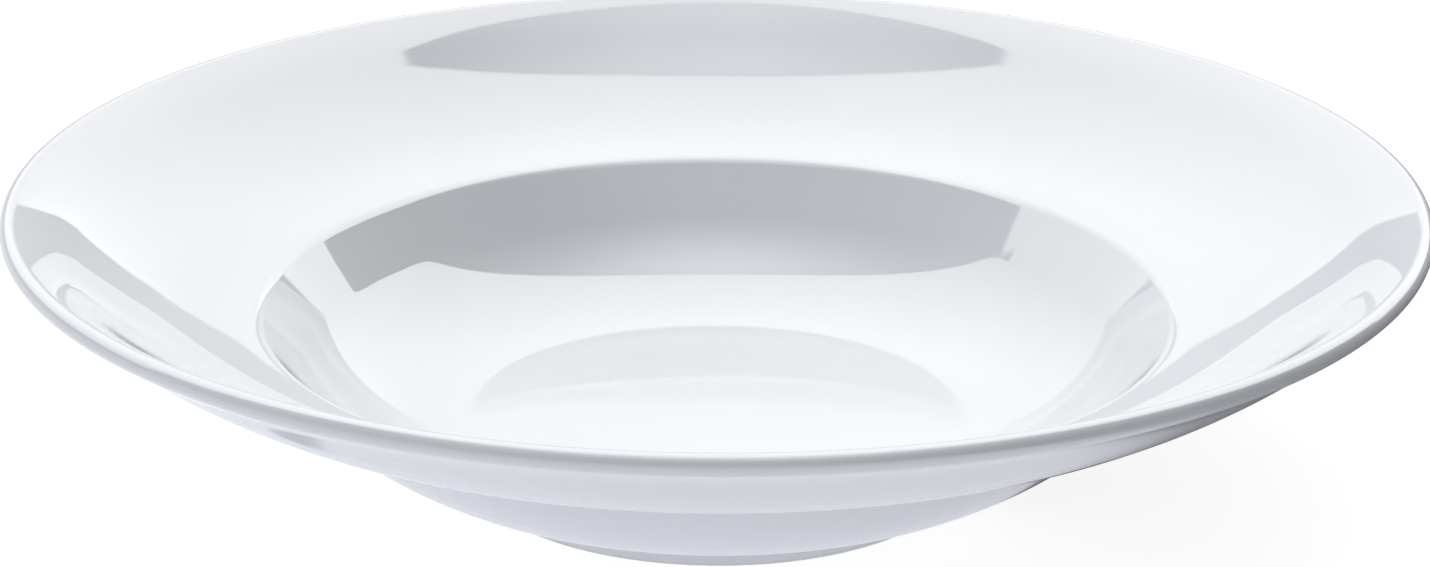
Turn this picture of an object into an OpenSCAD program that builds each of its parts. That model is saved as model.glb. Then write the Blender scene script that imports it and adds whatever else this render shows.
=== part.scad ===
// Wide-rimmed pasta bowl of glazed porcelain, standing on a low foot ring.
// The bowl is one turned piece. Its glaze is a separate glassy coat in two areas, because the ring
// that it stands on is wiped bare: one coat covers the inside, the lip and the outside, the other
// covers the underside within the foot ring.
// Millimetres, +Z up. The origin is the middle of the foot ring's standing face.

/* [Bowl] */
// Diameter across the lip
bowl_d = 270; // [240:1:300]
// Height from the table to the top of the lip
bowl_h = 57.4; // [52:0.1:64]
// Finished thickness of the rim, and of the well's wall at its edge, glaze included
wall_t = 4; // [3.2:0.1:4.8]

/* [Well] */
// Diameter of the well's edge, before it is rounded
well_d = 175; // [160:1:190]
// Diameter of the flat part of the floor
floor_d = 95; // [84:1:104]
// Finished thickness of the floor
floor_t = 6.1; // [5.2:0.1:6.8]
// Length of the straight part of the well's wall, up to the edge before it is rounded
wall_straight = 13.2; // [9:0.1:16]
// Radius of the rounding where the well's wall turns over into the rim
edge_r = 3.8; // [3:0.1:8]
// Radius of the hollow under that edge, on the outside
neck_r = 6; // [2:0.5:10]

/* [Outside of the well] */
// Diameter at which the outside's curve starts, level. It is within the foot ring, out of sight
outer_start_d = 70; // [60:1:80]
// Height above the table at which it starts
outer_start_h = 2.4; // [1.8:0.1:3]
// Length of the straight part of the outside, up to the hollow under the edge
outer_straight = 7.3; // [5:0.1:12]

/* [Rim] */
// Slope of the rim where it leaves the well, in degrees
rim_inner_slope = 5.4; // [2:0.1:12]
// Slope at the rim's middle, where the curve grows flatter, in degrees
rim_middle_slope = 27.4; // [24:0.1:32]
// Slope where the rim is steepest, in degrees
rim_steep_slope = 38.5; // [36:0.1:42]
// Slope at the lip, towards which the rim bends outward again, in degrees
rim_lip_slope = 31; // [26:0.1:35]
// Share of the rim's width that lies inside its middle
rim_middle_share = 0.443; // [0.4:0.001:0.55]
// Width of the straight stretch where the rim is steepest
rim_steep_w = 3; // [1:0.1:5]
// Share of the width of the two arcs outside its middle that lies inside that stretch
rim_steep_share = 0.675; // [0.5:0.005:0.8]

/* [Foot ring] */
// Outer diameter of the foot ring at the table
foot_d = 97; // [86:1:108]
// Width of the face that it stands on
foot_face_w = 3.2; // [2.6:0.1:5]
// Height of the underside above the table
recess_h = 3; // [2.4:0.1:3.4]
// Lean of the foot ring's outer side, in degrees
foot_outer_lean = 12; // [4:1:20]
// Lean of the foot ring's inner side, in degrees
foot_inner_lean = 22; // [8:1:30]
// Radius of the hollow where the foot ring meets the wall
foot_fillet_r = 1.5; // [0.8:0.1:2]
// Radius of the hollow where the foot ring meets the underside
recess_fillet_r = 1; // [0.6:0.1:1.1]
// Radius of the edges of the standing face
foot_edge_r = 0.4; // [0.2:0.05:0.5]

/* [Glaze] */
// Thickness of the glaze
glaze_t = 0.3; // [0.15:0.05:0.4]
// Height above the table up to which the foot ring is wiped bare
wiped_h = 0.6; // [0.5:0.05:0.8]

/* [Hidden] */
// Facets around the axis. An arc of the outline is drawn by chords that stay within arc_sag of it
// and turn by no more than arc_turn degrees.
round_fn = 240;
arc_sag = 0.01;
arc_turn = 10;

body_colour = [0.90, 0.89, 0.86];
glaze_colour = [0.96, 0.97, 0.98];

// The finished surface is described by slopes: at slope s the surface climbs outward at s degrees,
// its upper side faces along polar angle 90 + s and its under side along s - 90.
function along(s) = [cos(s), sin(s)];
function upper(s) = along(90 + s);
function under(s) = along(s - 90);

// Points of an arc about a centre, between two polar angles
function arc(centre, r, from, to) =
    let (
        turn = min(arc_turn, 2 * acos(1 - arc_sag / r)),
        steps = max(1, ceil(abs(to - from) / turn))
    )
    [for (k = [0 : steps]) centre + r * along(from + (to - from) * k / steps)];

// The same points without the first, for an arc that carries on from the one before it
function onward(points) = [for (k = [1 : len(points) - 1]) points[k]];

// Centre of a circle of radius r that touches a straight line and, from outside, another circle.
// The line runs through p along u, the centre lies on its side n, and of the two such centres
// this is the one that comes first along u.
function touching(p, u, n, r, centre, big_r) =
    let (
        a = p + r * n - centre,
        b = a * u,
        reach = big_r + r
    )
    p + r * n - u * (b + sqrt(b * b - a * a + reach * reach));

// Polar angle of a direction
function heading(v) = atan2(v[1], v[0]);

bowl_r = bowl_d / 2;
lip_r = wall_t / 2;
floor_r = floor_d / 2;
floor_h = recess_h + floor_t;

// Rim: two arcs that rise from the well's edge, a straight stretch where it is steepest, and an arc
// that bends outward from there to the lip. A chord's slope is the mean of its ends'.
rim_end_r = bowl_r - lip_r * (1 + sin(rim_lip_slope));
edge_at_r = well_d / 2;
rim_inner_w = (rim_end_r - edge_at_r) * rim_middle_share;
rim_outer_w = (rim_end_r - edge_at_r - rim_inner_w - rim_steep_w) * rim_steep_share;
rim_last_w = rim_end_r - edge_at_r - rim_inner_w - rim_outer_w - rim_steep_w;
rim_inner_rise = rim_inner_w * tan((rim_inner_slope + rim_middle_slope) / 2);
rim_outer_rise = rim_outer_w * tan((rim_middle_slope + rim_steep_slope) / 2);
rim_last_rise = rim_last_w * tan((rim_steep_slope + rim_lip_slope) / 2);
rim_end = [rim_end_r, bowl_h - lip_r + lip_r * cos(rim_lip_slope)];
rim_steep = rim_end - [rim_last_w, rim_last_rise];
rim_steep_rise = rim_steep_w * tan(rim_steep_slope);
rim_middle = rim_steep - [rim_steep_w + rim_outer_w, rim_steep_rise + rim_outer_rise];
edge = rim_middle - [rim_inner_w, rim_inner_rise];
rim_inner_curve = rim_inner_w / (sin(rim_middle_slope) - sin(rim_inner_slope));
rim_outer_curve = rim_outer_w / (sin(rim_steep_slope) - sin(rim_middle_slope));
rim_last_curve = rim_last_w / (sin(rim_steep_slope) - sin(rim_lip_slope));
rim_inner_centre = edge + rim_inner_curve * upper(rim_inner_slope);
rim_outer_centre = rim_middle + rim_outer_curve * upper(rim_middle_slope);
rim_last_centre = rim_steep + rim_last_curve * under(rim_steep_slope);
lip_centre = rim_end + lip_r * under(rim_lip_slope);

// Well: an arc off a level start, then a straight stretch up to the edge. An arc and a stretch that
// touch each other, over a width and a rise, have this slope and this radius.
function climb_slope(w, rise, straight) = 2 * atan(rise / (w + straight));
function climb_curve(w, slope, straight) = (w - straight * cos(slope)) / sin(slope);

well_w = edge_at_r - floor_r;
wall_slope = climb_slope(well_w, edge[1] - floor_h, wall_straight);
wall_curve = climb_curve(well_w, wall_slope, wall_straight);
wall_centre = [floor_r, floor_h + wall_curve];

// Its outside climbs in the same way, to a point that lies the rim's thickness under the edge
outer_start_r = outer_start_d / 2;
outer_w = edge_at_r - outer_start_r;
outer_guide_h = outer_start_h + wall_t;
outer_slope = climb_slope(outer_w, edge[1] - outer_guide_h, outer_straight);
outer_guide = climb_curve(outer_w, outer_slope, outer_straight);
outer_curve = outer_guide + wall_t;
outer_centre = [outer_start_r, outer_guide_h + outer_guide];

// Roundings of the edge above and below: each touches its side of the wall and the rim's inner arc
edge_centre = touching(edge, along(wall_slope), under(wall_slope), edge_r,
    rim_inner_centre, rim_inner_curve);
neck_centre = touching(edge + wall_t * under(outer_slope), along(outer_slope), under(outer_slope),
    neck_r, rim_inner_centre, rim_inner_curve + wall_t);
edge_slope = heading(rim_inner_centre - edge_centre) - 90;
neck_slope = heading(rim_inner_centre - neck_centre) - 90;

// Foot ring: two leaning sides, a bare face under them and a hollow beside each
foot_r = foot_d / 2;
foot_inner_r = foot_r - foot_face_w;
foot_outer_up = along(90 - foot_outer_lean);
foot_outer_out = along(-foot_outer_lean);
foot_centre = touching([foot_r, 0], foot_outer_up, foot_outer_out, foot_fillet_r,
    outer_centre, outer_curve);
foot_slope = heading(outer_centre - foot_centre) - 90;

// Radius of each leaning side at a height, with the surface set in by a depth
function foot_outer_at(h, depth) = foot_r + h * tan(foot_outer_lean) - depth / cos(foot_outer_lean);
function foot_inner_at(h, depth) = foot_inner_r - h * tan(foot_inner_lean) + depth / cos(foot_inner_lean);

// The inside, lip and outside, set in by a depth, from the axis round to the foot ring's outer side
function bowl_line(depth) = concat(
    [[0, floor_h - depth]],
    arc(wall_centre, wall_curve + depth, -90, wall_slope - 90),
    arc(edge_centre, edge_r - depth, 90 + wall_slope, 90 + edge_slope),
    onward(arc(rim_inner_centre, rim_inner_curve + depth, edge_slope - 90, rim_middle_slope - 90)),
    onward(arc(rim_outer_centre, rim_outer_curve + depth, rim_middle_slope - 90, rim_steep_slope - 90)),
    arc(rim_last_centre, rim_last_curve - depth, 90 + rim_steep_slope, 90 + rim_lip_slope),
    onward(arc(lip_centre, lip_r - depth, 90 + rim_lip_slope, rim_lip_slope - 90)),
    onward(arc(rim_last_centre, rim_last_curve - wall_t + depth, 90 + rim_lip_slope, 90 + rim_steep_slope)),
    arc(rim_outer_centre, rim_outer_curve + wall_t - depth,
        rim_steep_slope - 90, rim_middle_slope - 90),
    onward(arc(rim_inner_centre, rim_inner_curve + wall_t - depth,
        rim_middle_slope - 90, neck_slope - 90)),
    onward(arc(neck_centre, neck_r + depth, 90 + neck_slope, 90 + outer_slope)),
    arc(outer_centre, outer_curve - depth, outer_slope - 90, foot_slope - 90),
    onward(arc(foot_centre, foot_fillet_r + depth, 90 + foot_slope, 180 - foot_outer_lean))
);

// The underside, set in by a depth, from the foot ring's inner side to the axis
function base_line(depth) =
    let (hollow_h = recess_h - recess_fillet_r)
    concat(
        arc([foot_inner_at(hollow_h, 0) - recess_fillet_r / cos(foot_inner_lean), hollow_h],
            recess_fillet_r + depth, foot_inner_lean, 90),
        [[0, recess_h + depth]]
    );

// The bare foot, from its outer side round to its inner side
function foot_line(depth) =
    let (
        outer_r = foot_outer_at(foot_edge_r, depth) - foot_edge_r / cos(foot_outer_lean),
        inner_r = foot_inner_at(foot_edge_r, depth) + foot_edge_r / cos(foot_inner_lean)
    )
    concat(
        [[foot_outer_at(wiped_h, depth), wiped_h]],
        arc([outer_r, foot_edge_r], foot_edge_r, -foot_outer_lean, -90),
        arc([inner_r, foot_edge_r], foot_edge_r, -90, foot_inner_lean - 180),
        [[foot_inner_at(wiped_h, depth), wiped_h]]
    );

function backward(points) = [for (k = [len(points) - 1 : -1 : 0]) points[k]];

module turned(points) {
    rotate_extrude($fn = round_fn) polygon(points);
}

// Fired porcelain: floor, well, rim, lip and foot ring in one, with its bare standing face
module porcelain_body() {
    color(body_colour)
        turned(concat(bowl_line(glaze_t), foot_line(glaze_t), base_line(glaze_t)));
}

// Clear-white glaze over the inside, the lip and the outside, ending above the bare foot
module bowl_glaze() {
    glaze_end_h = wiped_h + glaze_t;
    color(glaze_colour)
        turned(concat(
            bowl_line(0),
            [[foot_outer_at(glaze_end_h, 0), glaze_end_h], [foot_outer_at(wiped_h, glaze_t), wiped_h]],
            backward(bowl_line(glaze_t))
        ));
}

// Glaze of the underside, within the bare foot ring
module base_glaze() {
    glaze_end_h = wiped_h + glaze_t;
    color(glaze_colour)
        turned(concat(
            [[foot_inner_at(wiped_h, glaze_t), wiped_h], [foot_inner_at(glaze_end_h, 0), glaze_end_h]],
            base_line(0),
            backward(base_line(glaze_t))
        ));
}

porcelain_body();
bowl_glaze();
base_glaze();
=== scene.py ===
# %% [markdown]
# # A pasta bowl of white porcelain
# The real bowl is one turned piece of porcelain under a coat of clear-white glaze, and its foot
# ring is wiped bare where it stands. The CAD parts hold its sizes. This lesson adds what the eye
# sees: a glaze surface that mirrors light without facets, the two finishes, a floor, soft light
# and a camera. The imported parts come in first.

# %% Load the imported parts
import math

import bpy
import numpy as np
from mathutils import Matrix


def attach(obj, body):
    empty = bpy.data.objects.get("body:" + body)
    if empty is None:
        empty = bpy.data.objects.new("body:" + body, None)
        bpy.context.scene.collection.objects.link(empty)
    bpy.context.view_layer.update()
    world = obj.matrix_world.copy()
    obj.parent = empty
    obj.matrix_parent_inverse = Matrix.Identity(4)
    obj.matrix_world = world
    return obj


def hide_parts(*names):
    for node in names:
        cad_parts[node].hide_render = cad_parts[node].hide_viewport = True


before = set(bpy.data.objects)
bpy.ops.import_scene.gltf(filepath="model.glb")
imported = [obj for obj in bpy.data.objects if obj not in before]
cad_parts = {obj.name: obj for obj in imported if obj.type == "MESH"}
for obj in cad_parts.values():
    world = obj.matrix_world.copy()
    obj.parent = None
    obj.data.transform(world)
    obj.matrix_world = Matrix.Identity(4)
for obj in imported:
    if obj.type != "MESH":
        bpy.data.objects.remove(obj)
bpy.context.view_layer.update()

# %% [markdown]
# ## The bowl's sizes
# A turned shape needs only one outline, from the middle of the floor out over the lip and back
# under to the foot. The outline is made of arcs that touch each other, as a potter's template
# is, so these few sizes fix it. They are those of the CAD source, in metres. Slopes are in
# degrees, measured from level.

# %% Sizes
MM = 0.001
bowl_r, bowl_h, wall_t = 135 * MM, 57.4 * MM, 4 * MM
well_r, floor_r, floor_t, wall_straight = 87.5 * MM, 47.5 * MM, 6.1 * MM, 13.2 * MM
belly_start_r, belly_start_h, belly_straight = 35 * MM, 2.4 * MM, 7.3 * MM
edge_r, neck_r = 3.8 * MM, 6 * MM
rim_inner_slope, rim_middle_slope, rim_steep_slope, rim_lip_slope = 5.4, 27.4, 38.5, 31
rim_middle_share, rim_steep_w, rim_steep_share = 0.443, 3 * MM, 0.675
foot_r, foot_face_w, recess_h = 48.5 * MM, 3.2 * MM, 3 * MM
foot_outer_lean, foot_inner_lean, foot_fillet_r, recess_fillet_r = 12, 22, 1.5 * MM, 1 * MM
glaze_t, wiped_h = 0.3 * MM, 0.6 * MM
lip_r = wall_t / 2
floor_h = recess_h + floor_t
print(f"bowl {2000 * bowl_r:.0f} mm across, {1000 * bowl_h:.1f} mm high")

# %% [markdown]
# ## Where the arcs have their centres
# Each arc starts at the slope where the one before it ends, so the surface never has a kink. For
# an arc the radius follows from its width and its two slopes. The rim rises in two arcs from the
# well's edge, runs straight for 3 mm where it is steepest, and eases outward in a last arc to the
# lip. The small roundings at the well's edge, at the hollow under it and at the foot are circles
# that touch a straight line and a larger circle, which is a quadratic equation.

# %% Directions and touching circles
def towards(angle):
    """Unit vector in the outline's plane, (cos, sin) of an angle in degrees: 0 is outward, 90 up."""
    return np.stack([np.cos(np.radians(angle)), np.sin(np.radians(angle))], axis=-1)


def angle_of(v):
    """Angle in degrees of a vector in the outline's plane."""
    return math.degrees(math.atan2(v[1], v[0]))


def touching(p, along, side, radius, centre, big_radius):
    """Centre of a circle that touches the line through p along a unit vector, on the given side, and
    touches a larger circle from outside. It lies at p + radius * side - s * along, and the s that
    puts it big_radius + radius from the larger circle's centre solves a quadratic."""
    a = p + radius * side - centre
    b = a @ along
    return p + radius * side - along * (b + math.sqrt(b * b - a @ a + (big_radius + radius) ** 2))


# %% Rim, well, edge, neck and foot
rim_end = np.array([bowl_r - lip_r * (1 + math.sin(math.radians(rim_lip_slope))),
                    bowl_h - lip_r * (1 - math.cos(math.radians(rim_lip_slope)))])
inner_w = (rim_end[0] - well_r) * rim_middle_share
outer_w = (rim_end[0] - well_r - inner_w - rim_steep_w) * rim_steep_share
last_w = rim_end[0] - well_r - inner_w - outer_w - rim_steep_w
rim_slopes = (rim_inner_slope, rim_middle_slope, rim_steep_slope, rim_lip_slope)
sines = np.sin(np.radians(rim_slopes))
chords = np.tan(np.radians(np.add(rim_slopes[1:], rim_slopes[:-1]) / 2))
rim_steep = rim_end - [last_w, last_w * chords[2]]
steep_rise = rim_steep_w * math.tan(math.radians(rim_steep_slope))
rim_middle = rim_steep - [rim_steep_w + outer_w, steep_rise + outer_w * chords[1]]
edge = rim_middle - [inner_w, inner_w * chords[0]]
inner_curve, outer_curve, last_curve = np.abs([inner_w, outer_w, last_w] / np.diff(sines))
inner_centre = edge + inner_curve * towards(90 + rim_inner_slope)
outer_centre = rim_middle + outer_curve * towards(90 + rim_middle_slope)
last_centre = rim_steep + last_curve * towards(rim_steep_slope - 90)
lip_centre = rim_end + lip_r * towards(rim_lip_slope - 90)


def climb(start, end, length):
    """Slope in degrees and radius of an arc that leaves the start level and runs on into a straight
    length up to the end: the slope is twice the angle whose tangent is rise / (width + length)."""
    width, rise = np.subtract(end, start)
    slope = 2 * math.atan(rise / (width + length))
    return math.degrees(slope), (width - length * math.cos(slope)) / math.sin(slope)


wall_slope, wall_curve = climb((floor_r, floor_h), edge, wall_straight)
wall_centre = np.array([floor_r, floor_h + wall_curve])
belly_slope, belly_guide = climb((belly_start_r, belly_start_h + wall_t), edge, belly_straight)
belly_curve = belly_guide + wall_t
belly_centre = np.array([belly_start_r, belly_start_h + belly_curve])

edge_centre = touching(edge, towards(wall_slope), towards(wall_slope - 90),
                       edge_r, inner_centre, inner_curve)
neck_centre = touching(edge + wall_t * towards(belly_slope - 90), towards(belly_slope),
                       towards(belly_slope - 90), neck_r, inner_centre, inner_curve + wall_t)
edge_slope = angle_of(inner_centre - edge_centre) - 90
neck_slope = angle_of(inner_centre - neck_centre) - 90
foot_centre = touching(np.array([foot_r, 0]), towards(90 - foot_outer_lean), towards(-foot_outer_lean),
                       foot_fillet_r, belly_centre, belly_curve)
foot_slope = angle_of(belly_centre - foot_centre) - 90
print(f"the well's wall rises at {wall_slope:.1f} degrees to an edge {1000 * edge[1]:.1f} mm up")

# %% [markdown]
# ## Runs of the outline
# Blender's smooth shading averages the normals of neighbouring faces. On a matt thing nobody sees
# that, but a glossy glaze shows it: where short faces meet long ones, a reflection bends. Each
# run of the outline therefore carries its own normals, straight from the circle's formula, and
# the mesh gets exactly those. A skin of glaze is the same outline twice, at two depths.

# %% Arcs and straight stretches
def arc(centre, radius, start, end, facing, turn):
    """Run along a circle, centre + radius * (cos a, sin a) as a goes from start to end in steps of at
    most turn degrees. Its normals are facing * (cos a, sin a): 1 faces outward, -1 the centre."""
    spokes = towards(np.linspace(start, end, math.ceil(abs(end - start) / turn) + 1))
    return centre + radius * spokes, facing * spokes


def straight(a, b, longest=4 * MM):
    """Run along the line from a to b in equal steps, a + s * (b - a). Its normal is the line's
    direction turned left, (dx, dz) to (-dz, dx), because the outline has the air on its left."""
    d = np.subtract(b, a)
    length = np.hypot(*d)
    s = np.linspace(0, 1, math.ceil(length / longest) + 1)[:, None]
    return a + s * d, np.broadcast_to([-d[1], d[0]] / length, (len(s), 2))


def joined(runs, touch=1e-9):
    """One outline from runs: its points, and the normals at the start and the end of each step. A
    straight run fills any gap between two runs."""
    whole = [runs[0]]
    for run in runs[1:]:
        if np.hypot(*(run[0][0] - whole[-1][0][-1])) > touch:
            whole.append(straight(whole[-1][0][-1], run[0][0]))
        whole.append(run)
    points = np.concatenate([whole[0][0][:1]] + [place[1:] for place, _ in whole])
    starts = np.concatenate([normal[:-1] for _, normal in whole])
    ends = np.concatenate([normal[1:] for _, normal in whole])
    return points, starts, ends


# Centre, radius, first and last angle, facing, and largest turn of each arc, from floor to foot
bowl_arcs = [
    (wall_centre, wall_curve, -90, wall_slope - 90, -1, 1.5),
    (edge_centre, edge_r, 90 + wall_slope, 90 + edge_slope, 1, 3),
    (inner_centre, inner_curve, edge_slope - 90, rim_middle_slope - 90, -1, 1.2),
    (outer_centre, outer_curve, rim_middle_slope - 90, rim_steep_slope - 90, -1, 0.8),
    (last_centre, last_curve, 90 + rim_steep_slope, 90 + rim_lip_slope, 1, 0.8),
    (lip_centre, lip_r, 90 + rim_lip_slope, rim_lip_slope - 90, 1, 7.5),
    (last_centre, last_curve - wall_t, 90 + rim_lip_slope, 90 + rim_steep_slope, -1, 0.8),
    (outer_centre, outer_curve + wall_t, rim_steep_slope - 90, rim_middle_slope - 90, 1, 0.8),
    (inner_centre, inner_curve + wall_t, rim_middle_slope - 90, neck_slope - 90, 1, 1.5),
    (neck_centre, neck_r, 90 + neck_slope, 90 + belly_slope, -1, 4),
    (belly_centre, belly_curve, belly_slope - 90, foot_slope - 90, 1, 1.5),
    (foot_centre, foot_fillet_r, 90 + foot_slope, 180 - foot_outer_lean, -1, 6),
]


def coat(arcs, depth, coarser=1):
    """The runs of an outline set in by a depth: a radius shrinks where the arc faces outward and
    grows where it faces its centre."""
    return [arc(c, r - facing * depth, first, last, facing, turn * coarser)
            for c, r, first, last, facing, turn in arcs]


def reversed_runs(runs):
    """The same runs walked the other way, as the inner side of a skin, so the normals turn over."""
    return [(place[::-1], -normal[::-1]) for place, normal in reversed(runs)]


def corner(r, z):
    """A single point of an outline, where two straight stretches meet."""
    return np.array([[r, z]]), np.zeros((1, 2))


# %% [markdown]
# ## Turning an outline into a mesh
# A screw or spin modifier could turn the outline, but it can't take the normals along. The grid
# is worked out here instead: one index runs along the outline and the other round the axis. The
# points on the axis are shared, so that the surface is closed, and the last column joins the
# first.

# %% A turned piece
def turned(name, outline, around=320):
    """Surface of an outline (r, z) turned about the Z axis: each point becomes (r cos t, r sin t, z)
    for around values of t, and its normal (u, w) becomes (u cos t, u sin t, w). The outline starts
    and ends on the axis."""
    points, starts, ends = outline
    t = 2 * np.pi * np.arange(around + 1) / around
    spokes = np.stack([np.cos(t), np.sin(t)], axis=-1)

    def spun(flat):
        """Flat (a, b) pairs at every turn, as an array of pairs by turns by 3."""
        level = flat[:, None, :1] * spokes
        upward = np.broadcast_to(flat[:, None, 1:], level.shape[:2] + (1,))
        return np.concatenate([level, upward], axis=-1)

    rings = spun(points[1:-1])[:, :-1].reshape(-1, 3)
    axis_points = np.array([[0, 0, points[0, 1]], [0, 0, points[-1, 1]]])
    vertices = np.concatenate([axis_points[:1], rings, axis_points[1:]])

    column = np.arange(around)
    beside = (column + 1) % around
    first = 1 + around * np.arange(len(points) - 2)[:, None]
    quads = np.stack([first[:-1] + column, first[1:] + column,
                      first[1:] + beside, first[:-1] + beside], axis=-1)
    top = np.stack([np.zeros_like(column), 1 + column, 1 + beside], axis=-1)
    last_point = np.full_like(column, len(vertices) - 1)
    bottom = np.stack([first[-1] + column, last_point, first[-1] + beside], axis=-1)

    a, b = spun(starts), spun(ends)
    corners = np.stack([a[:, :-1], b[:, :-1], b[:, 1:], a[:, 1:]], axis=2)
    normals = np.concatenate([corners[0][:, [0, 1, 2]].reshape(-1, 3),
                              corners[1:-1].reshape(-1, 3),
                              corners[-1][:, [0, 1, 3]].reshape(-1, 3)])

    mesh = bpy.data.meshes.new(name)
    faces = top.tolist() + quads.reshape(-1, 4).tolist() + bottom.tolist()
    mesh.from_pydata(vertices.tolist(), [], faces)
    mesh.shade_smooth()
    mesh.normals_split_custom_set(normals.tolist())
    piece = bpy.data.objects.new(name, mesh)
    bpy.context.scene.collection.objects.link(piece)
    print(f"{name}: {len(vertices)} points, {2 * len(quads.reshape(-1, 4)) + 2 * around} triangles")
    return piece


# %% [markdown]
# ## Glaze of the bowl
# The glaze covers the inside, the lip and the outside, and it ends just above the table in a thin
# edge where the potter wiped the foot. It is a closed skin 0.3 mm thick: the finished outline on
# the way out and round to the foot, and the same outline 0.3 mm deeper on the way back. The inner
# side lies on the porcelain and is never seen, so it has coarser steps.

# %% Glazed inside, lip and outside
def foot_outer_at(h, depth):
    """Radius of the foot ring's outer side at a height, set in by a depth."""
    lean = math.radians(foot_outer_lean)
    return foot_r + h * math.tan(lean) - depth / math.cos(lean)


glaze_end_h = wiped_h + glaze_t
bowl_coat = joined(
    [corner(0, floor_h)] + coat(bowl_arcs, 0)
    + [corner(foot_outer_at(glaze_end_h, 0), glaze_end_h),
       corner(foot_outer_at(wiped_h, glaze_t), wiped_h)]
    + reversed_runs(coat(bowl_arcs, glaze_t, coarser=3)) + [corner(0, floor_h - glaze_t)])
glazed_bowl = turned("glazed_bowl", bowl_coat)

# %% [markdown]
# ## Glaze of the underside
# Within the foot ring the underside is glazed as well. Its outline starts on the axis, goes out
# along the porcelain, turns at the wiped edge and comes back along the finished surface.

# %% Glazed underside
def foot_inner_at(h, depth):
    """Radius of the foot ring's inner side at a height, set in by a depth."""
    lean = math.radians(foot_inner_lean)
    return foot_r - foot_face_w - h * math.tan(lean) + depth / math.cos(lean)


hollow_h = recess_h - recess_fillet_r
hollow_r = foot_inner_at(hollow_h, 0) - recess_fillet_r / math.cos(math.radians(foot_inner_lean))
hollow_centre = np.array([hollow_r, hollow_h])
base_arcs = [(hollow_centre, recess_fillet_r, foot_inner_lean, 90, -1, 6)]
base_coat = joined(
    [corner(0, recess_h + glaze_t)] + reversed_runs(coat(base_arcs, glaze_t))
    + [corner(foot_inner_at(wiped_h, glaze_t), wiped_h),
       corner(foot_inner_at(glaze_end_h, 0), glaze_end_h)]
    + coat(base_arcs, 0) + [corner(0, recess_h)])
glazed_base = turned("glazed_base", base_coat)

# %% [markdown]
# ## Nodes
# Materials and the world are trees of nodes. One helper adds a node, sets it and fills its
# inputs: a socket is linked and anything else is a plain value. That keeps each finish readable.

# %% Node helpers
def node(tree, kind, inputs=None, **settings):
    """Adds a node of a kind, with its settings, and fills its inputs by name or number."""
    made = tree.nodes.new(kind)
    for key, value in settings.items():
        setattr(made, key, value)
    for key, value in (inputs or {}).items():
        if isinstance(value, bpy.types.NodeSocket):
            tree.links.new(value, made.inputs[key])
        else:
            made.inputs[key].default_value = value
    return made


def calc(tree, operation, *values):
    """The result of one Math node."""
    return node(tree, "ShaderNodeMath", dict(enumerate(values)), operation=operation).outputs[0]


def finish_tree(name):
    """A new material, its tree, and the Object coordinates, in which every pattern is drawn."""
    made = bpy.data.materials.new(name)
    made.use_nodes = True
    made.node_tree.nodes.clear()
    place = node(made.node_tree, "ShaderNodeTexCoord").outputs["Object"]
    return made, made.node_tree, place


def noise(tree, place, size, detail=2.0, roughness=0.5):
    """Noise between 0 and 1 whose blotches are about a size across, in metres."""
    return node(tree, "ShaderNodeTexNoise", {"Vector": place, "Scale": 1 / size, "Detail": detail,
                                             "Roughness": roughness}).outputs["Fac"]


def ranged(tree, value, low, high, to_low, to_high, kind="LINEAR"):
    """A value carried from one range to another, and held at the ends."""
    return node(tree, "ShaderNodeMapRange", {"Value": value, "From Min": low, "From Max": high,
                                             "To Min": to_low, "To Max": to_high},
                interpolation_type=kind).outputs["Result"]


# %% [markdown]
# ## White glaze
# A glaze is a layer of glass over a white body. It mirrors lamps sharply, but its surface is never
# quite even: it has a long, slow swell from the turning and the firing, which makes the edges of
# reflections wander a little, and a fine peel a few millimetres across. Both are far too low to
# show in the outline, so they are bump. The colour drifts by a percent or so where the coat is
# thicker, and the gloss varies faintly.

# %% Glaze material
def bump(tree, height, rise, under=None):
    """A Bump node that lifts the surface by rise metres where the height is 1."""
    inputs = {"Height": height, "Distance": rise, "Strength": 1.0}
    if under is not None:
        inputs["Normal"] = under
    return node(tree, "ShaderNodeBump", inputs).outputs["Normal"]


thin_colour, thick_colour, tint_size = (0.755, 0.765, 0.783, 1), (0.775, 0.783, 0.798, 1), 45 * MM
smooth, smoother, gloss_size = 0.03, 0.01, 20 * MM
swell_size, swell_rise, peel_size, peel_rise = 50 * MM, 0.25 * MM, 4 * MM, 0.003 * MM

glaze, tree, place = finish_tree("glossy_white_glaze")
drift = ranged(tree, noise(tree, place, tint_size, 3), 0.35, 0.65, 0, 1)
tint = node(tree, "ShaderNodeMix", {"Factor": drift, 6: thin_colour, 7: thick_colour},
            data_type="RGBA").outputs[2]
gloss = ranged(tree, noise(tree, place, gloss_size, 2), 0.3, 0.7, smoother, smooth)
swell = bump(tree, noise(tree, place, swell_size, 0), swell_rise)
peel = bump(tree, noise(tree, place, peel_size, 1), peel_rise, swell)
shine = node(tree, "ShaderNodeBsdfPrincipled", {"Base Color": tint, "Roughness": gloss, "IOR": 1.65,
                                                "Specular IOR Level": 0.95, "Normal": peel})
node(tree, "ShaderNodeOutputMaterial", {"Surface": shine.outputs["BSDF"]})

# %% [markdown]
# ## Bare porcelain
# The ring that the bowl stands on has no glaze. It is dry and matt like fine unglazed china, a
# touch warmer than the glaze, with a grain as fine as sugar and faint grey marks from tables.

# %% Bare foot material
bare_colour, mark_colour, mark_size = (0.79, 0.775, 0.74, 1), (0.62, 0.61, 0.59, 1), 6 * MM
grain_size, grain_rise, dull_size = 0.3 * MM, 0.03 * MM, 2 * MM

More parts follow.
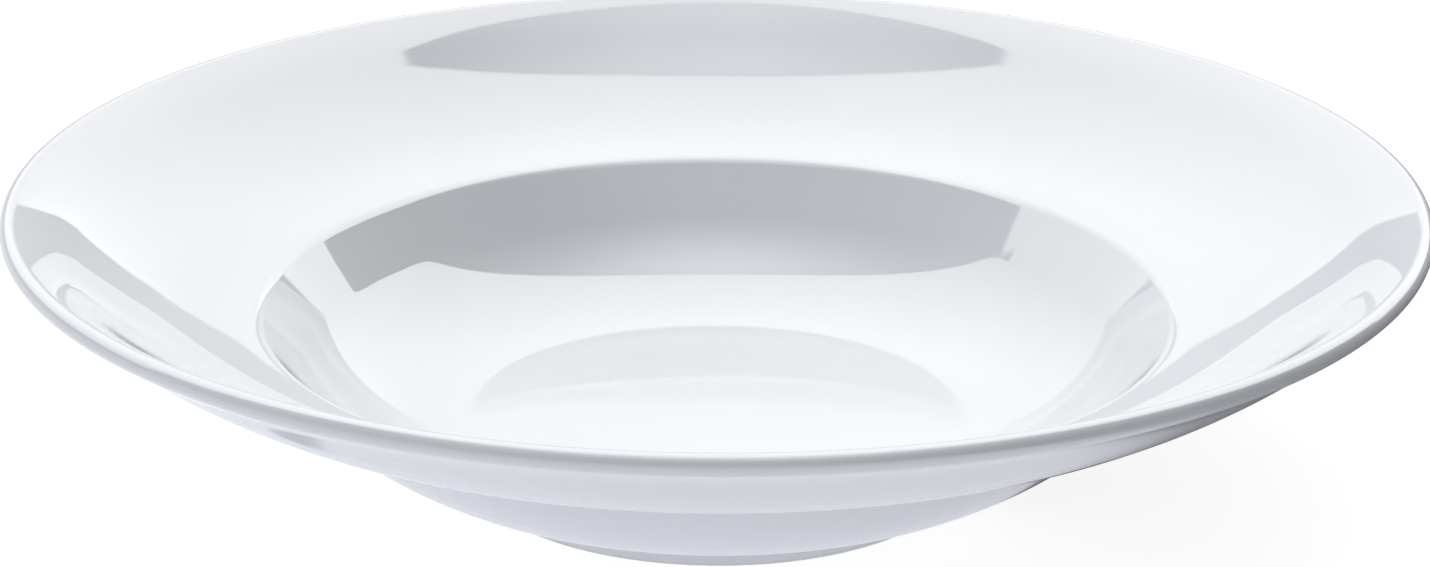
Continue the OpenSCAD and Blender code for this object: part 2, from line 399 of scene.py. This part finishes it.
bare, tree, place = finish_tree("bare_fired_porcelain")
scuff = ranged(tree, noise(tree, place, mark_size, 4, 0.65), 0.55, 0.75, 0, 0.5)
dry = node(tree, "ShaderNodeMix", {"Factor": scuff, 6: bare_colour, 7: mark_colour},
           data_type="RGBA").outputs[2]
grain = bump(tree, noise(tree, place, grain_size, 2), grain_rise)
dull = ranged(tree, noise(tree, place, dull_size), 0.3, 0.7, 0.55, 0.75)
matt = node(tree, "ShaderNodeBsdfPrincipled",
            {"Base Color": dry, "Roughness": dull, "IOR": 1.5, "Normal": grain})
node(tree, "ShaderNodeOutputMaterial", {"Surface": matt.outputs["BSDF"]})

# %% [markdown]
# ## Putting the pieces in place
# The two skins stand for the two CAD glazes, whose facets would show in the gloss. The porcelain
# itself stays the CAD part: only its bare ring shows, and it takes the bare finish. Everything
# rides on the one body of the bowl.

# %% Finishes, bodies and slots
for piece, stands_for in ((glazed_bowl, "bowl_glaze"), (glazed_base, "base_glaze")):
    piece.data.materials.append(glaze)
    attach(piece, "root")
    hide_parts(stands_for)
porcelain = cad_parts["porcelain_body"]
if not porcelain.material_slots:
    porcelain.data.materials.append(bare)
for held in porcelain.material_slots:
    held.material = bare
print("porcelain slots:", len(porcelain.material_slots))

# %% [markdown]
# ## Floor
# The bowl stands on a plain pale floor. The camera sees it as white, by a share of light of its own
# on camera rays, while the soft shadow under the bowl stays. To all other rays the floor is a
# grey table, because the underside of the rim mirrors it: bright in front and on the left, much
# dimmer on the right behind a slanting edge where shade is painted, a little brighter close to the
# bowl where a glow is painted, and with two painted shadows near the foot that show as dark flecks low on
# the sides.

# %% Pale floor
reach = 3.0
# The painted shade on the right part: where it begins, how softly, how its edge slants, and its share of
# light
shade_edge, shade_fade, shade_slant, shaded_share = 0.06, 0.03, 0.6, 0.2
# What the table scatters and how much it glows, a painted glow for bounced light, full up to glow_near
# and falling to a share
bounce_colour, bounce_glow = (0.58, 0.595, 0.61), (0.50, 0.505, 0.535)
glow_near, glow_far, glow_share = 0.06, 0.3, 0.5
# Painted shadows beside the foot: x, y, radius and the share of light that is left in the middle
painted_shadows = [(0.066, -0.012, 0.018, 0.15), (-0.091, -0.047, 0.014, 0.5)]
seen_colour, seen_lift = 0.3, 0.85

floor_mesh = bpy.data.meshes.new("floor")
floor_corners = [(-reach, -reach, 0), (reach, -reach, 0), (reach, reach, 0), (-reach, reach, 0)]
floor_mesh.from_pydata(floor_corners, [], [(0, 1, 2, 3)])
floor = bpy.data.objects.new("floor", floor_mesh)
bpy.context.scene.collection.objects.link(floor)
paper, tree, place = finish_tree("pale_floor")


def glowing_paper(colour, glow):
    """Paper that scatters light and adds a little of its own: diffuse plus emission."""
    scatter = node(tree, "ShaderNodeBsdfDiffuse", {"Color": colour}).outputs[0]
    own = node(tree, "ShaderNodeEmission", {"Color": glow, "Strength": 1.0}).outputs[0]
    return node(tree, "ShaderNodeAddShader", {0: scatter, 1: own}).outputs[0]


# Painted shade: the right part of the floor behind a slanting edge, and painted shadows beside the foot
spot = node(tree, "ShaderNodeSeparateXYZ", {0: place}).outputs
aside = calc(tree, "MULTIPLY_ADD", spot["Y"], shade_slant, spot["X"])
share = ranged(tree, aside, shade_edge - shade_fade, shade_edge + shade_fade,
               1, shaded_share, "SMOOTHSTEP")
# Each painted shadow darkens the floor's colour and glow round its place
for x, y, size, left_over in painted_shadows:
    apart = node(tree, "ShaderNodeVectorMath", {0: place, 1: (x, y, 0)},
                 operation="DISTANCE").outputs["Value"]
    shade = ranged(tree, apart, size / 2, size, left_over, 1, "SMOOTHSTEP")
    share = calc(tree, "MULTIPLY", share, shade)
# Painted glow: the floor's own light is fuller close to the bowl
radius = node(tree, "ShaderNodeVectorMath", {0: place}, operation="LENGTH").outputs["Value"]
near = ranged(tree, radius, glow_near, glow_far, 1, glow_share, "SMOOTHSTEP")


def tinted(levels, amount):
    """A colour whose red, green and blue are three levels times one amount."""
    parts = {k: calc(tree, "MULTIPLY", amount, level) for k, level in enumerate(levels)}
    return node(tree, "ShaderNodeCombineColor", parts).outputs[0]


lighting = glowing_paper(tinted(bounce_colour, share),
                         tinted(bounce_glow, calc(tree, "MULTIPLY", share, near)))
white = glowing_paper((seen_colour,) * 3 + (1,), (seen_lift,) * 3 + (1,))
camera_ray = node(tree, "ShaderNodeLightPath").outputs["Is Camera Ray"]
both = node(tree, "ShaderNodeMixShader", {0: camera_ray, 1: lighting, 2: white}).outputs[0]
node(tree, "ShaderNodeOutputMaterial", {"Surface": both})
floor_mesh.materials.append(paper)

# %% [markdown]
# ## Soft studio light
# A glossy bowl shows its lamps, so their shape matters more than their number. The reflections
# on such a bowl tell where the light is: one wide soft light hangs behind and above it, from
# just past straight overhead down to a hand above the horizon. The front edge of that light
# makes the grey fields on the back of the rim and of the well, so it is drawn as a curve, point by
# point. Its lower edge at the back makes the bands on the sides of the rim, and hangs a little
# higher in the middle than at the corners. The rest of the room is dim and a touch bluer. The
# world draws both by direction: x/z and y/z say where a ray would cross a ceiling one metre up.

# %% Shape of the light
# Points (x/z, y/z) along the light's front edge, from left to right
front_edge = [(-2.5, 0.40), (-1.34, 0.33), (-1.29, 0.25), (-1.2, 0.2), (-0.88, 0.165), (-0.5, 0.145),
              (-0.19, 0.145), (0.04, 0.145), (0.3, 0.165), (0.47, 0.185), (0.78, 0.23), (1.14, 0.3),
              (1.26, 0.34), (1.37, 0.46), (1.42, 0.56), (1.48, 0.68), (1.58, 0.87), (1.66, 1.05),
              (1.78, 1.33), (1.86, 1.47), (1.95, 1.57), (2.1, 1.65), (2.5, 1.8)]
half_span, edge_span, front_blur = 2.5, 2.4, 0.012
back_edge, back_corner, corner_aside, side_edge, edge_blur = 3.5, 4.87, 1.3, 2.75, 0.03

world = bpy.data.worlds.new("studio")
bpy.context.scene.world = world
world.use_nodes = True
tree = world.node_tree
tree.nodes.clear()
direction = node(tree, "ShaderNodeTexCoord").outputs["Generated"]
ray = node(tree, "ShaderNodeSeparateXYZ", {0: direction}).outputs
height = calc(tree, "MAXIMUM", ray["Z"], 0.001)
across = calc(tree, "DIVIDE", ray["X"], height)
back = calc(tree, "DIVIDE", ray["Y"], height)
sideways = calc(tree, "ABSOLUTE", across)

curve = node(tree, "ShaderNodeFloatCurve", {"Value": ranged(tree, across, -half_span, half_span, 0, 1)})
line = curve.mapping.curves[0]
line.points[0].location = (0, front_edge[0][1] / edge_span)
line.points[1].location = (1, front_edge[-1][1] / edge_span)
for x, y in front_edge[1:-1]:
    line.points.new((x + half_span) / (2 * half_span), y / edge_span)
curve.mapping.update()
beyond = calc(tree, "SUBTRACT", back, calc(tree, "MULTIPLY", curve.outputs[0], edge_span))
past_front = ranged(tree, beyond, -front_blur, front_blur, 0, 1, "SMOOTHSTEP")


def within(value, edge):
    """1 where a value over its edge is below 1 and 0 above, with a narrow soft step between."""
    ratio = calc(tree, "DIVIDE", value, edge)
    return ranged(tree, ratio, 1 - edge_blur, 1 + edge_blur, 1, 0, "SMOOTHSTEP")


above_back = within(back, ranged(tree, sideways, 0, corner_aside, back_edge, back_corner))
lit = calc(tree, "MULTIPLY", calc(tree, "MULTIPLY", past_front, above_back), within(sideways, side_edge))
print(f"the light's front edge has {len(front_edge)} points")

# %% [markdown]
# ## Levels of the light and the room
# The levels came from the tones in the picture. Each fade below is a line of four numbers: from,
# to, and the level at either end. Heights are the direction's z, from 0 at the horizon to 1
# overhead. The light grows brighter with height and towards the right, and is a little dimmer
# in the middle low down. The room darkens towards the right, glows straight overhead, and has a
# weak glow low down at the back on the right. Rays from the camera see plain white instead.

# %% Levels and colours
light_by_height, light_to_right = (0.28, 0.95, 1.38, 2.50), (0.3, 1.5, 0, 0.66)
dip_by_height, dip_aside = (0.42, 0.62, 0.24, 0), (0.25, 0.9, 1, 0)
room_by_height, room_to_right = (0.1, 0.65, 0.44, 0.39), (0.1, 0.8, 1, 0)
zenith, zenith_power = 1.25, 14
glow_by_depth, glow_to_right, glow_by_height = (0.3, 0.6, 0, 0.1), (-0.2, 0.2, 0, 1), (0.3, 0.4, 1, 0)
light_colour, room_colour = (0.998, 1.0, 1.008, 1), (0.96, 0.995, 1.05, 1)

light = calc(tree, "ADD", ranged(tree, ray["Z"], *light_by_height), ranged(tree, across, *light_to_right))
dip = calc(tree, "MULTIPLY", ranged(tree, ray["Z"], *dip_by_height), ranged(tree, sideways, *dip_aside))
light = calc(tree, "SUBTRACT", light, dip)

room = calc(tree, "MULTIPLY", ranged(tree, ray["Z"], *room_by_height),
            ranged(tree, ray["X"], *room_to_right))
overhead = calc(tree, "MULTIPLY", calc(tree, "POWER", height, zenith_power), zenith)
behind = calc(tree, "MULTIPLY", ranged(tree, ray["Y"], *glow_by_depth),
              ranged(tree, ray["X"], *glow_to_right))
low_glow = calc(tree, "MULTIPLY", behind, ranged(tree, ray["Z"], *glow_by_height))
room = calc(tree, "ADD", calc(tree, "ADD", room, overhead), low_glow)

level = node(tree, "ShaderNodeMix", {0: lit, 2: room, 3: light}).outputs[0]
hue = node(tree, "ShaderNodeMix", {0: lit, 6: room_colour, 7: light_colour}, data_type="RGBA").outputs[2]
studio = node(tree, "ShaderNodeBackground", {"Color": hue, "Strength": level}).outputs[0]
plain = node(tree, "ShaderNodeBackground", {"Color": (1, 1, 1, 1), "Strength": 1.0}).outputs[0]
camera_ray = node(tree, "ShaderNodeLightPath").outputs["Is Camera Ray"]
sky = node(tree, "ShaderNodeMixShader", {0: camera_ray, 1: studio, 2: plain}).outputs[0]
node(tree, "ShaderNodeOutputWorld", {"Surface": sky})

# %% [markdown]
# ## Camera
# The viewpoint was found by fitting the bowl's outline to the picture: 0.81 m away, 22.6 degrees
# above the table, with a long lens and the camera turned up so that the bowl hangs low in a wide
# frame that cuts off the back of the rim.

# %% Camera
distance, elevation, roll = 0.81, math.radians(22.571), 0.0059
frame_w, frame_h, focal_px = 1430, 567, 4147.5
origin_px = (716.59, 465.95)
sensor_w = 36.0


def turn(v, axis, angle):
    """v turned about a unit axis by an angle a:
    v cos a + (axis x v) sin a + axis (axis . v)(1 - cos a)."""
    cosine, sine = math.cos(angle), math.sin(angle)
    return v * cosine + np.cross(axis, v) * sine + axis * (axis @ v) * (1 - cosine)


eye = distance * np.array([0, -math.cos(elevation), math.sin(elevation)])
ahead, right = -eye / distance, np.array([1.0, 0, 0])
up = np.cross(right, ahead)
yaw = math.atan((origin_px[0] - frame_w / 2) / focal_px)
pitch = math.atan((origin_px[1] - frame_h / 2) / focal_px)
ahead, right = turn(ahead, up, yaw), turn(right, up, yaw)
ahead = turn(ahead, right, pitch)
up = np.cross(right, ahead)
right, up = right * math.cos(roll) + up * math.sin(roll), up * math.cos(roll) - right * math.sin(roll)

lens = bpy.data.cameras.new("camera")
lens.sensor_width = sensor_w
lens.lens = focal_px / frame_w * sensor_w
camera = bpy.data.objects.new("camera", lens)
bpy.context.scene.collection.objects.link(camera)
pose = np.eye(4)
pose[:3, 0], pose[:3, 1], pose[:3, 2], pose[:3, 3] = right, up, -ahead, eye
camera.matrix_world = Matrix(pose.tolist())
bpy.context.scene.camera = camera
bpy.context.scene.view_settings.view_transform = "Standard"
print(f"lens {lens.lens:.1f} mm")
